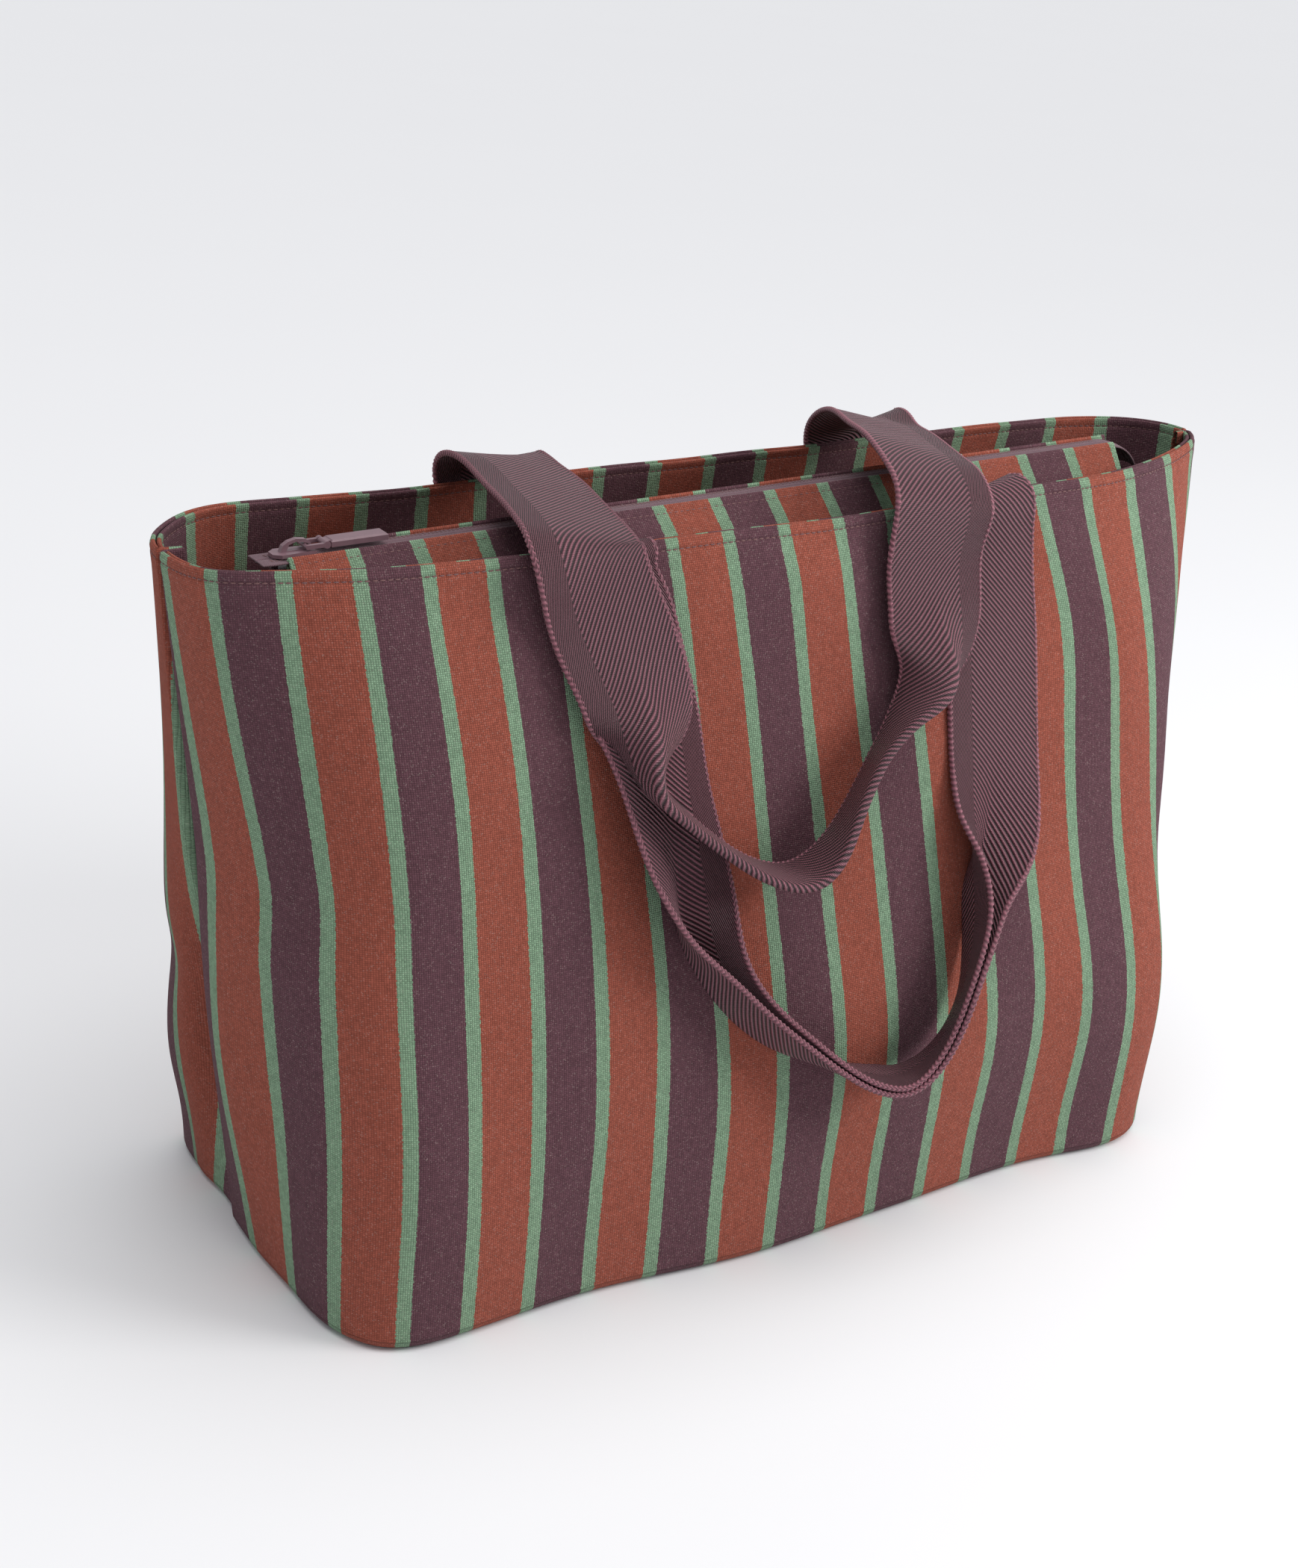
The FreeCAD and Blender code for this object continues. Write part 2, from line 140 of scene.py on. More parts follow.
def arc_lengths(path):
    """Distance along a polyline at each of its points."""
    return np.concatenate([[0], np.cumsum(np.linalg.norm(np.diff(path, axis=0), axis=1))])


def surface_normals(points):
    """Unit normals of a (rows, columns, 3) grid."""
    return unit(np.cross(np.gradient(points, axis=0), np.gradient(points, axis=1)))


# ---- meshes ---------------------------------------------------------------------------
def new_mesh(name, points, faces, uvs=None, material=None):
    """points in mm, uvs in mm per vertex (kept in metres)."""
    mesh = bpy.data.meshes.new(name)
    mesh.from_pydata((np.asarray(points, float).reshape(-1, 3) * MM).tolist(), [], faces)
    if uvs is not None:
        layer = mesh.uv_layers.new(name="cloth")
        corner = np.zeros(len(mesh.loops), dtype=np.int32)
        mesh.loops.foreach_get("vertex_index", corner)
        flat = (np.asarray(uvs, float).reshape(-1, 2) * MM)[corner]
        layer.data.foreach_set("uv", flat.astype(np.float32).ravel())
    mesh.polygons.foreach_set("use_smooth", [True] * len(mesh.polygons))
    if material:
        mesh.materials.append(material)
    mesh.validate()
    piece = bpy.data.objects.new(name, mesh)
    bpy.context.collection.objects.link(piece)
    return piece


def grid_faces(rows, columns, offset=0, wrap=False, flip=False):
    faces = []
    for i in range(rows - 1):
        for j in range(columns if wrap else columns - 1):
            k = (j + 1) % columns
            a, b = offset + i * columns + j, offset + i * columns + k
            face = (a, b, b + columns, a + columns)
            faces.append(face[::-1] if flip else face)
    return faces


def grid_piece(name, points, uvs, material, wrap=False, flip=False):
    rows, columns = points.shape[:2]
    return new_mesh(name, points, grid_faces(rows, columns, 0, wrap, flip), uvs, material)


def thick_sheet(name, points, uvs, thickness, material):
    """A closed sheet: a (rows, columns) grid given thickness along its normals, all edges rounded."""
    normals = surface_normals(points)
    half = thickness / 2
    rows, columns = points.shape[:2]
    layers = []
    for lift, shrink in ((half, 0.0), (half * 0.7, half * 0.7), (-half * 0.7, half * 0.7), (-half, 0.0)):
        layer = points + normals * lift
        if shrink:
            layer[0] += unit(points[0] - points[1]) * shrink
            layer[-1] += unit(points[-1] - points[-2]) * shrink
            layer[:, 0] += unit(points[:, 0] - points[:, 1]) * shrink
            layer[:, -1] += unit(points[:, -1] - points[:, -2]) * shrink
        layers.append(layer)
    size = rows * columns
    faces = grid_faces(rows, columns, 0, flip=True) + grid_faces(rows, columns, 3 * size)
    border = list(range(columns)) + [i * columns + columns - 1 for i in range(1, rows)]
    border += [(rows - 1) * columns + j for j in range(columns - 2, -1, -1)]
    border += [i * columns for i in range(rows - 2, 0, -1)]
    for level in range(3):
        for a, b in zip(border, border[1:] + border[:1]):
            low, high = level * size, (level + 1) * size
            faces.append((low + a, low + b, high + b, high + a))
    every = np.concatenate([layer.reshape(-1, 3) for layer in layers])
    every_uv = np.concatenate([np.asarray(uvs, float).reshape(-1, 2)] * 4)
    keep = sorted({v for f in faces for v in f})
    new_index = {v: i for i, v in enumerate(keep)}
    faces = [tuple(new_index[v] for v in f) for f in faces]
    return new_mesh(name, every[keep], faces, every_uv[keep], material)


def join(name, pieces):
    """One object from several, with its normals pointing out."""
    bpy.ops.object.select_all(action="DESELECT")
    for piece in pieces:
        piece.select_set(True)
    bpy.context.view_layer.objects.active = pieces[0]
    if len(pieces) > 1:
        bpy.ops.object.join()
    pieces[0].name = pieces[0].data.name = name
    return pieces[0]


def outward(piece):
    bm = bmesh.new()
    bm.from_mesh(piece.data)
    bmesh.ops.recalc_face_normals(bm, faces=bm.faces)
    bm.to_mesh(piece.data)
    bm.free()
    return piece


def along(path, step):
    """Points every step mm along a polyline, with tangents."""
    path = np.asarray(path, float)
    lengths = arc_lengths(path)
    at = np.arange(step / 2, lengths[-1], step)
    points = np.stack([np.interp(at, lengths, path[:, k]) for k in range(3)], -1)
    ahead = np.stack([np.interp(at + 0.3, lengths, path[:, k]) for k in range(3)], -1)
    behind = np.stack([np.interp(at - 0.3, lengths, path[:, k]) for k in range(3)], -1)
    return points, unit(ahead - behind)


def stitches(name, paths, material, pitch=3.0, length=2.2, radius=0.32):
    """Sewn thread: one small rounded stitch every pitch mm along each (path, normals) pair."""
    rings, sides = (-1.0, -0.8, 0.0, 0.8, 1.0), 6
    points, faces = [], []
    for path, normal in paths:
        centres, tangents = along(path, pitch)
        for c, t in zip(centres, tangents):
            n = unit(np.asarray(normal, float))
            side = unit(np.cross(t, n))
            up = np.cross(side, t)
            start = len(points)
            for r in rings:
                fat = radius * math.sqrt(max(1 - (abs(r) ** 3), 0.06))
                for k in range(sides):
                    a = 2 * math.pi * k / sides
                    spot = c + t * r * length / 2 + (side * math.cos(a) + up * math.sin(a) * 0.8) * fat
                    points.append(spot + up * 0.12 * (1 - r * r))
            faces += grid_faces(len(rings), sides, start, wrap=True)
            faces.append(tuple(range(start, start + sides))[::-1])
            last = start + (len(rings) - 1) * sides
            faces.append(tuple(range(last, last + sides)))
    return outward(new_mesh(name, points, faces, None, material))


# ---- materials ------------------------------------------------------------------------
class Nodes:
    """Short calls for building one material's nodes."""

    def __init__(self, name, roughness, specular=0.3, sheen=0.0, coat=0.0, metallic=0.0):
        self.material = bpy.data.materials.new(name)
        self.material.use_nodes = True
        self.tree = self.material.node_tree
        self.shader = self.tree.nodes["Principled BSDF"]
        self.shader.inputs["Roughness"].default_value = roughness
        self.shader.inputs["Specular IOR Level"].default_value = specular
        self.shader.inputs["Sheen Weight"].default_value = sheen
        self.shader.inputs["Sheen Roughness"].default_value = 0.5
        self.shader.inputs["Coat Weight"].default_value = coat
        self.shader.inputs["Metallic"].default_value = metallic

    def add(self, kind, **settings):
        node = self.tree.nodes.new(kind)
        for key, value in settings.items():
            setattr(node, key, value)
        return node

    def put(self, socket, value):
        if isinstance(value, bpy.types.NodeSocket):
            self.tree.links.new(value, socket)
        else:
            socket.default_value = value

    def math(self, operation, a, b=0.0, clamp=False):
        node = self.add("ShaderNodeMath", operation=operation, use_clamp=clamp)
        self.put(node.inputs[0], a)
        self.put(node.inputs[1], b)
        return node.outputs[0]

    def mix(self, factor, a, b, blend="MIX"):
        node = self.add("ShaderNodeMix", data_type="RGBA", blend_type=blend)
        for socket, value in ((node.inputs[0], factor), (node.inputs[6], a), (node.inputs[7], b)):
            if isinstance(value, tuple) and len(value) == 3:
                value = (*value, 1)
            self.put(socket, value)
        return node.outputs[2]

    def uv(self):
        """Cloth coordinates in mm: along and across, or round the bag and up it."""
        split = self.add("ShaderNodeSeparateXYZ")
        node = self.add("ShaderNodeUVMap", uv_map="cloth")
        self.put(split.inputs[0], node.outputs[0])
        return tuple(self.math("MULTIPLY", split.outputs[k], 1 / MM) for k in (0, 1))

    def vector(self, x, y, z=0.0):
        node = self.add("ShaderNodeCombineXYZ")
        for socket, value in zip(node.inputs, (x, y, z)):
            self.put(socket, value)
        return node.outputs[0]

    def random(self, x, y):
        """A value from 0 to 1 for each whole-number cell."""
        node = self.add("ShaderNodeTexWhiteNoise", noise_dimensions="2D")
        self.put(node.inputs["Vector"], self.vector(self.math("FLOOR", x), self.math("FLOOR", y)))
        return node.outputs["Value"]

    def noise(self, vector, scale, detail=2.0):
        node = self.add("ShaderNodeTexNoise")
        self.put(node.inputs["Vector"], vector)
        node.inputs["Scale"].default_value = scale
        node.inputs["Detail"].default_value = detail
        return node.outputs["Fac"]

    def place(self):
        """The object's own coordinates, in metres."""
        return self.add("ShaderNodeTexCoord").outputs["Object"]

    def shaded(self, colour, shade):
        """A colour multiplied by a grey value."""
        grey = self.add("ShaderNodeCombineColor")
        for socket in grey.inputs[:3]:
            self.put(socket, shade)
        return self.mix(1.0, colour, grey.outputs[0], "MULTIPLY")

    def finish(self, colour, height=None, distance=0.0003, strength=1.0, roughness=None):
        self.put(self.shader.inputs["Base Color"], (*colour, 1) if isinstance(colour, tuple) else colour)
        if roughness is not None:
            self.put(self.shader.inputs["Roughness"], roughness)
        if height is not None:
            bump = self.add("ShaderNodeBump")
            bump.inputs["Distance"].default_value = distance
            bump.inputs["Strength"].default_value = strength
            self.put(bump.inputs["Height"], height)
            self.put(self.shader.inputs["Normal"], bump.outputs[0])
        return self.material


terracotta = (0.345, 0.095, 0.064)
plum = (0.134, 0.062, 0.077)
green = (0.258, 0.396, 0.260)
mauve = (0.235, 0.088, 0.115)
stripe_repeat = 60.0
green_half = 3.3                 # half the width of a green stripe
thread_pitch = 1.02              # canvas weave, across
pick_pitch = 0.86                # canvas weave, up
twill_pitch = 2.7                # webbing ribs, along the strap
twill_slant = 1.1                # how far a rib runs along for each mm across
twill_turn = 13.0                # where the ribs change direction, from the middle line
selvedge_width = 1.6


def canvas_material(name, stripes=True, tint=(1, 1, 1)):
    """Plain-weave canvas: green lines between bands of plum and terracotta, or one tint."""
    m = Nodes(name, 0.95, specular=0.08, sheen=0.04)
    u, v = m.uv()
    pu, pv = m.math("MULTIPLY", u, 1 / thread_pitch), m.math("MULTIPLY", v, 1 / pick_pitch)
    lobe = m.math("MULTIPLY", m.math("SINE", m.math("MULTIPLY", pu, math.pi)),
                  m.math("SINE", m.math("MULTIPLY", pv, math.pi)))
    pillow = m.math("POWER", m.math("ABSOLUTE", lobe), 0.6)
    over = m.math("GREATER_THAN", lobe, 0.0)
    height = m.math("MULTIPLY", pillow, m.math("ADD", m.math("MULTIPLY", over, 0.45), 0.55))
    cell = m.random(pu, pv)
    fuzz = m.noise(m.vector(u, v), 1.6, 3.0)
    heather = m.noise(m.vector(u, m.math("MULTIPLY", v, 0.5)), 0.35, 4.0)
    if stripes:
        ragged = m.math("MULTIPLY", m.math("SUBTRACT", m.random(m.math("MULTIPLY", u, 0.04), pv), 0.5), 0.45)
        t = m.math("FRACT", m.math("MULTIPLY", m.math("ADD", u, ragged), 1 / stripe_repeat))
        edge = green_half / stripe_repeat
        is_plum = m.math("MULTIPLY", m.math("GREATER_THAN", t, edge), m.math("LESS_THAN", t, 0.5 - edge))
        is_terra = m.math("MULTIPLY", m.math("GREATER_THAN", t, 0.5 + edge), m.math("LESS_THAN", t, 1 - edge))
        base = m.mix(is_plum, m.mix(is_terra, green, terracotta), plum)
        is_green = m.math("SUBTRACT", 1.0, m.math("ADD", is_plum, is_terra))
        height = m.math("MULTIPLY", height, m.math("ADD", 0.72, m.math("MULTIPLY", is_green, 0.5)))
    else:
        base = tint
    # painted shade: each thread is lighter on its crown and darker where it dips between its neighbours; the
    # cell and heather terms add random tone
    shade = m.math("ADD", 0.62, m.math("MULTIPLY", pillow, 0.42))
    shade = m.math("MULTIPLY", shade, m.math("ADD", 0.86, m.math("MULTIPLY", cell, 0.28)))
    shade = m.math("MULTIPLY", shade, m.math("ADD", 0.80, m.math("MULTIPLY", heather, 0.40)))
    fleck = m.math("GREATER_THAN", m.random(m.math("MULTIPLY", u, 2.1), m.math("MULTIPLY", v, 2.3)), 0.955)
    fleck = m.math("MULTIPLY", fleck, m.math("MULTIPLY", fuzz, 0.30))
    colour = m.mix(fleck, m.shaded(base, shade), (0.62, 0.52, 0.48))
    height = m.math("ADD", height, m.math("MULTIPLY", fuzz, 0.35))
    return m.finish(colour, height, 0.00042, 0.9)


def webbing_material():
    """Heavy herringbone webbing: fine diagonal ribs that change direction in bands."""
    m = Nodes("webbing", 0.5, specular=0.5, sheen=0.03)
    u, v = m.uv()
    side = m.math("SUBTRACT", m.math("MULTIPLY", m.math("GREATER_THAN", v, twill_turn), -2.0), 1.0)
    slant = m.math("MULTIPLY", m.math("MULTIPLY", v, side), twill_slant)
    rib = m.math("SINE", m.math("MULTIPLY", m.math("ADD", u, slant), 2 * math.pi / twill_pitch))
    thread = m.math("SINE", m.math("MULTIPLY", u, 2 * math.pi / 0.7))
    height = m.math("ADD", m.math("MULTIPLY", rib, 0.5), m.math("MULTIPLY", thread, 0.15))
    edge = m.math("GREATER_THAN", m.math("ABSOLUTE", v), webbing_half - selvedge_width)
    shine = m.noise(m.vector(m.math("MULTIPLY", u, 0.3), v), 0.5, 3.0)
    # painted shade and sheen: the twill ribs lighter and darker in turn, and lighter streaks of painted sheen
    # where the shine noise is high
    shade = m.math("ADD", 0.72, m.math("MULTIPLY", rib, 0.68))
    shade = m.math("MULTIPLY", shade, m.math("ADD", 0.84, m.math("MULTIPLY", shine, 0.32)))
    height = m.math("SUBTRACT", height, m.math("MULTIPLY", edge, 0.1))
    rough = m.math("ADD", 0.38, m.math("MULTIPLY", shine, 0.18))
    return m.finish(m.shaded(mauve, shade), height, 0.0012, 1.0, rough)


def cord_material(name, colour_value, pitch):
    """Twisted cord; its cloth coordinates are mm along it and the angle round it."""
    m = Nodes(name, 0.6, specular=0.35, sheen=0.1)
    u, v = m.uv()
    twist = m.math("SINE", m.math("ADD", m.math("MULTIPLY", u, 2 * math.pi / pitch), v))
    grain = m.noise(m.place(), 900.0, 2.0)
    # painted shade: the cord lighter on its strands and darker in the grooves of its twist; the grain adds
    # random tone
    shade = m.math("ADD", 0.72, m.math("MULTIPLY", twist, 0.34))
    shade = m.math("MULTIPLY", shade, m.math("ADD", 0.8, m.math("MULTIPLY", grain, 0.4)))
    return m.finish(m.shaded(colour_value, shade), twist, 0.0003, 0.8)


def thread_material(name, colour_value):
    m = Nodes(name, 0.7, specular=0.3, sheen=0.1)
    grain = m.noise(m.place(), 1400.0, 2.0)
    colour = m.mix(grain, tuple(c * 0.7 for c in colour_value), tuple(c * 1.25 for c in colour_value))
    return m.finish(colour, grain, 0.0001, 0.5)


def tape_material():
    """Zip tape: fine herringbone with two woven lines along it."""
    m = Nodes("zip_tape", 0.75, specular=0.3, sheen=0.15)
    u, v = m.uv()
    zigzag = m.math("ADD", u, m.math("PINGPONG", v, 1.1))
    weave = m.math("SINE", m.math("MULTIPLY", zigzag, 2 * math.pi / 0.7))
    lines = m.math("SINE", m.math("MULTIPLY", v, 2 * math.pi / 0.8))
    grain = m.noise(m.place(), 700.0, 2.0)
    height = m.math("ADD", m.math("MULTIPLY", weave, 0.5), m.math("MULTIPLY", lines, 0.4))
    mottle = m.math("ADD", 0.78, m.math("MULTIPLY", grain, 0.3))
    # painted shade: the tape's raised threads lighter than its hollows; the grain's mottle is random tone
    shade = m.math("ADD", m.math("MULTIPLY", height, 0.14), mottle)
    return m.finish(m.shaded((0.190, 0.108, 0.130), shade), height, 0.0002, 0.8)


def metal_material(name, colour_value, roughness=0.36):
    """Painted metal: satin, with slight mottling."""
    m = Nodes(name, roughness, specular=0.5, coat=0.25)
    mottle = m.noise(m.place(), 260.0, 3.0)
    fine = m.noise(m.place(), 2600.0, 2.0)
    colour = m.mix(mottle, tuple(c * 0.86 for c in colour_value), tuple(c * 1.16 for c in colour_value))
    rough = m.math("ADD", roughness - 0.06, m.math("MULTIPLY", mottle, 0.14))
    return m.finish(colour, fine, 0.00002, 0.35, rough)


def board_material():
    m = Nodes("board", 0.8, specular=0.2)
    grain = m.noise(m.place(), 420.0, 4.0)
    return m.finish(m.mix(grain, (0.10, 0.075, 0.055), (0.17, 0.13, 0.10)), grain, 0.0002, 0.5)


def floor_material():
    m = Nodes("floor", 0.85, specular=0.15)
    tone = m.noise(m.place(), 3.0, 2.0)
    return m.finish(m.mix(tone, (0.842, 0.849, 0.872), (0.852, 0.859, 0.882)))


# ---- shell: outlines in (stripe number, x, y[, z]), one stripe repeat = 1 ---------------
rim_top = 325.0
front_floor = cubic([
    (-1.9, -225, 20), (-1.5, -226, -8), (-1.0, -226, -46), (-0.5, -223, -79), (-0.25, -215, -94),
    (0.0, -203, -102), (0.5, -174, -104), (2.0, -82, -105), (4.0, 38, -105), (6.0, 157, -104),
    (7.0, 212, -98), (7.2, 221, -90), (7.45, 227, -77), (8.0, 229, -46), (8.7, 227, 2)])
front_rim = cubic([
    (-1.6, -262, 21, 316.5), (-1.5, -262, 15, 316.5), (-1.0, -256, -16, 319), (-0.5, -233, -32, 321),
    (0.0, -206, -42, 322), (1.0, -152, -50, 323), (2.0, -97, -53, 323.5), (3.0, -43, -55, 325),
    (4.0, 14, -55, 325), (5.0, 73, -51, 326), (6.0, 133, -46, 326.5), (7.0, 196, -39, 326.5),
    (7.5, 234, -25, 326), (8.0, 270, -5, 325), (8.2, 281, 4, 324.5), (8.4, 289, 15, 324)])
back_floor = cubic([
    (0.3, -225, 20), (0.5, -224, 42), (1.0, -221, 66), (1.5, -217, 90), (1.75, -208, 100),
    (2.05, -191, 102), (3.0, -134, 102), (6.0, 46, 102), (8.4, 190, 102), (8.8, 212, 97),
    (9.15, 224, 82), (9.7, 227, 50), (10.5, 226, 2)])
back_rim = cubic([
    (0.6, -262, 21, 316.5), (0.8, -262, 26, 317), (1.0, -260, 33, 318), (1.25, -252, 44, 318.5),
    (1.5, -239, 56, 318.5), (2.0, -210, 67, 318), (2.5, -181, 69, 317), (3.0, -152, 70, 316),
    (5.0, -30, 72, 316), (7.0, 92, 72, 317), (8.5, 184, 74, 318), (9.5, 245, 73, 318.5),
    (9.95, 271, 65, 319.5), (10.25, 287, 50, 321), (10.45, 292, 32, 322.5), (10.6, 289, 15, 324)])
front_seams = ((-1.9, -1.6), (8.7, 8.4))       # stripe number of each side seam: floor, rim
back_seams = ((0.3, 0.6), (10.5, 10.6))


# how far the right end leans out at each share of the height
end_profile = cubic([(0, 0), (0.12, -13), (0.25, -25), (0.35, -21), (0.5, -5.5), (0.65, -0.5), (0.8, 5),
                     (0.9, 4), (1, 0)])


def ripple(n, t, seed):
    """Soft unevenness of stuffed canvas, a millimetre or so."""
    total = 0.0
    for k, (a, b, size) in enumerate(((1.9, 2.3, 1.6), (3.1, 4.1, 0.9), (5.3, 7.7, 0.5), (0.9, 5.1, 1.1))):
        total = total + size * np.sin(a * n + 1.7 * seed + k) * np.sin(b * t * 2.4 + 2.1 * seed + 2 * k)
    return total


def front_point(n, t):
    n, t = np.broadcast_arrays(np.asarray(n, float), np.asarray(t, float))
    low, high = front_floor(n), front_rim(n)
    wide = ramp(n, -1.0, 0.2) * (1 - ramp(n, 7.2, 8.2))
    middle = ramp(n, 1.5, 3.5) * (1 - ramp(n, 7.0, 8.0))
    bow, belly = np.sin(np.pi * t), gauss(t, 0.27, 0.17)
    x = low[..., 0] + (high[..., 0] - low[..., 0]) * t
    y = low[..., 1] + (high[..., 1] - low[..., 1]) * t
    x = x + 5.5 * bow * wide + 2.5 * belly * middle
    y = y - 12 * bow * wide - 8 * belly * middle
    # the lower left corner buckles where the stuffing ends
    corner = gauss(n, -0.9, 0.65)
    kink = ramp(t, 0.97, 0.6) * (1 - 0.55 * ramp(t, 0.6, 0.48)) * ramp(t, 0.02, 0.3)
    x = x + 7.5 * kink * corner
    y = y - 3 * corner * (gauss(t, 0.53, 0.1) - gauss(t, 0.75, 0.12))
    # hollow beside the left handle, and the pull under the right one
    y = y + 4.5 * gauss(n, 2.3, 0.8) * gauss(t, 0.62, 0.22)
    x = x + 7 * gauss(n, 6.1, 0.45) * gauss(t, 0.8, 0.13)
    # right end: a slight waist
    x = x + end_profile(t)[..., 0] * ramp(n, 6.9, 7.5)
    # the end's front half stands proud of the back half beside the seam
    x = x - 7 * gauss(n, -1.45, 0.3) * gauss(t, 0.3, 0.2)
    y = y - ripple(n, t, 1) * wide * ramp(t, 1.0, 0.93)
    return np.stack([x, y, t * high[..., 2]], -1)


def back_point(n, t):
    n, t = np.broadcast_arrays(np.asarray(n, float), np.asarray(t, float))
    low, high = back_floor(n), back_rim(n)
    wide = ramp(n, 1.3, 2.4) * (1 - ramp(n, 8.8, 9.9))
    bow = np.sin(np.pi * t)
    x = low[..., 0] + (high[..., 0] - low[..., 0]) * t
    y = low[..., 1] + (high[..., 1] - low[..., 1]) * t + (9 * bow + ripple(n, t, 2)) * wide
    x = x + 17 * gauss(n, 0.42, 0.22) * gauss(t, 0.27, 0.2) - 6 * gauss(n, 1.2, 0.6) * gauss(t, 0.4, 0.25)
    x = x - 4 * gauss(n, 1.3, 0.4) * gauss(t, 0.2, 0.1) + 3 * gauss(n, 1.1, 0.4) * gauss(t, 0.37, 0.06)
    x = x + end_profile(t)[..., 0] * ramp(n, 9.5, 10.1)
    return np.stack([x, y, t * high[..., 2]], -1)


def inward(points):
    """Unit directions to the inside of the bag for a (heights, columns, 3) grid."""
    run = np.gradient(points, axis=1)
    run[..., 2] = 0
    run = unit(run)
    side = np.stack([-run[..., 1], run[..., 0], np.zeros_like(run[..., 0])], -1)
    centre = np.array([0.0, 5.0, 0.0]) - points
    side *= np.where((side * centre).sum(-1) < 0, -1, 1)[..., None]
    return side


seam_lap = 0.08            # sideways slope of the left tuck, so that each panel's edge laps the other


def panel_grid(point, seams, heights, columns=190, inset=0.0, seam_round=3.0, tuck=8.0, valley=0.0):
    """Grid of one panel from seam to seam with its side edges rounded and tucked inside.

    Gives the stripe number of every point, and the points.
    """
    spread = np.linspace(0, 1, columns)
    close = np.array([0.0, 0.001, 0.0025, 0.004])
    spread = np.unique(np.concatenate([close, 1 - close, spread]))
    rows = []
    (left_low, left_high), (right_low, right_high) = seams
    for t in heights:
        left = left_low + (left_high - left_low) * t
        right = right_low + (right_high - right_low) * t
        rows.append(left + (right - left) * spread)
    n = np.array(rows)
    points = point(n, np.asarray(heights)[:, None])
    inwards = inward(points)
    from_seam = np.minimum(n - n[:, :1], n[:, -1:] - n) * stripe_repeat
    bend = seam_round - np.sqrt(np.maximum(seam_round ** 2 - np.maximum(seam_round - from_seam, 0) ** 2, 0))
    points = points + inwards * (inset + bend)[..., None]
    # the left tuck runs deeper where the two halves of the end stand apart, and laps the other panel
    lap = -seam_lap * np.sign(points[..., 1].mean())
    deep = tuck + valley * gauss(np.asarray(heights), 0.27, 0.22)
    lead = points[:, :1] + (deep[:, None] * [1.0, 0.5])[..., None] * np.array([1, lap, 0])
    trail = points[:, -1:] - np.array([1, 0, 0]) * np.array([tuck / 2, tuck])[None, :, None]
    points = np.concatenate([lead, points, trail], 1)
    far, near = tuck / stripe_repeat, tuck / stripe_repeat / 2
    n = np.concatenate([n[:, :1] - [[far, near]], n, n[:, -1:] + [[near, far]]], 1)
    return n, points


hem_stitch_drop = 3.4
edge_radius = 0.95
hem_turn_depths = (2.0, 5.0)   # the shell's hem ends here, hidden behind the facing
bottom_radius = 5.0
rim_drops = (0.0, 0.5, 1.1, 1.8, 2.5, 3.0, 3.4, 3.8, 4.3, 5.2, 7, 10, 15, 22)


def rim_fold(row, to_inside, degrees):
    """Rows that carry a panel's top row over its folded edge."""
    fold = []
    for a in np.radians(degrees):
        turned = row + to_inside * edge_radius * (1 - math.cos(a))
        turned[:, 2] = row[:, 2] + edge_radius * math.sin(a)
        fold.append(turned)
    return fold


def shell_panel(name, point, seams, canvas):
    """Outside face from the floor's edge up to the rim, over the fold and down behind it."""
    lows = np.arange(bottom_radius, 300, 4.2)
    heights = np.concatenate([lows, rim_top - np.array(rim_drops[::-1])]) / rim_top
    n, face = panel_grid(point, seams, heights, valley=24.0)
    to_inside = inward(face)
    drop = (1 - heights) * rim_top
    groove = 0.5 * gauss(drop, hem_stitch_drop, 0.6) + 0.3 * ramp(drop, 4, 12) + 0.5 * gauss(drop, 0, 0.9)
    face = face + to_inside * groove[:, None, None]
    # rounded bottom edge
    angles = np.radians(np.linspace(0, 90, 9))[:-1]
    low_dir, low_row = to_inside[0], face[0]
    bottom = []
    for a in angles:
        inset, z = bottom_radius * (1 - math.sin(a)), bottom_radius * (1 - math.cos(a))
        row = low_row + low_dir * inset
        row[:, 2] = z + 0.3
        bottom.append(row)
    # fold over the rim, then down inside
    fold = rim_fold(face[-1], to_inside[-1], (30, 60, 90, 120, 150, 180))
    hem = fold[-1]
    for depth in hem_turn_depths:
        row = hem.copy()
        row[:, 2] -= depth
        fold.append(row)
    points = np.concatenate([bottom, face, fold])
    v = np.concatenate([-np.linspace(16, 2, len(bottom)), heights * rim_top,
                        rim_top + np.linspace(0.5, 3, 6), rim_top + 3 + np.array(hem_turn_depths)])
    u = np.concatenate([np.repeat(n[:1], len(bottom), 0), n, np.repeat(n[-1:], len(fold), 0)])
    uv = np.stack([u * stripe_repeat, np.repeat(v[:, None], n.shape[1], 1)], -1)
    return outward(grid_piece(name, points, uv, canvas))


def body_ring(t, columns, inset):
    """A closed ring inside both panels at a share of the height."""
    halves = []
    for point, seams, order in ((front_point, front_seams, 1), (back_point, back_seams, -1)):
        n = np.linspace(*(low + (high - low) * t for low, high in seams), columns)
        row = point(n, np.full(columns, t))[None]
        row = (row + inward(row) * inset)[0]
        halves.append(row[::order][:-1])
    return np.concatenate(halves)


def base_piece(canvas):
    """The underside: rings that shrink from the shell's bottom edge to the middle."""
    ring = body_ring(0.0, 120, bottom_radius - 1.0)
    rows = []
    for scale in (1.0, 0.97, 0.9, 0.75, 0.5, 0.25, 0.02):
        row = ring * [scale, scale, 1]
        row[:, 2] = 0.3 + 0.5 * (1 - scale)
        rows.append(row)
    points = np.array(rows)
    uv = points[..., :2] + [17.0, 0.0]
    return outward(grid_piece("base_skin", points, uv, canvas, wrap=True))


facing_inset = 2.9


